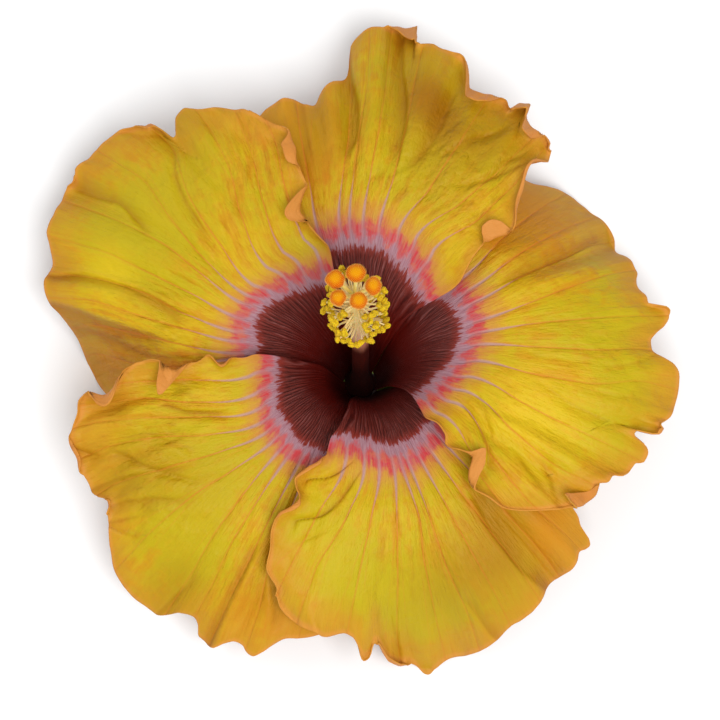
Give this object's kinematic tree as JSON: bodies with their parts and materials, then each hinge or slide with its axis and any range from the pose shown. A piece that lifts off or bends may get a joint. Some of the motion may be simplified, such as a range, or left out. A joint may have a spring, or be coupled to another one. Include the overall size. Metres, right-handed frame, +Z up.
{
  "type": "tropical hibiscus flower",
  "caption": "Open tropical hibiscus bloom with ruffled overlapping petals round a dark throat, a long column of stamens and a green cup beneath, lying face up.",
  "frame": {"origin": "middle of the bounding box's lower face, on the surface that the bloom lies on", "axes": "+Z up along the open face of the bloom, +Y towards the top petal, +X towards the right petal"},
  "size_m": [0.1498, 0.1554, 0.0709],
  "materials": {
    "petal": "soft satin petal, yellow with orange rims and a dark red throat",
    "stamen": "matte yellow pollen on a cream column",
    "stigma": "velvety orange",
    "cup": "leafy green, slightly waxy"
  },
  "bodies": {
    "root": {"petal_upper_left": "petal", "petal_top": "petal", "petal_right": "petal", "petal_bottom": "petal", "petal_lower_left": "petal", "staminal_column": "stamen", "pistil": "stigma", "calyx": "cup", "epicalyx": "cup", "pedicel": "cup"}
  },
  "joints": []
}
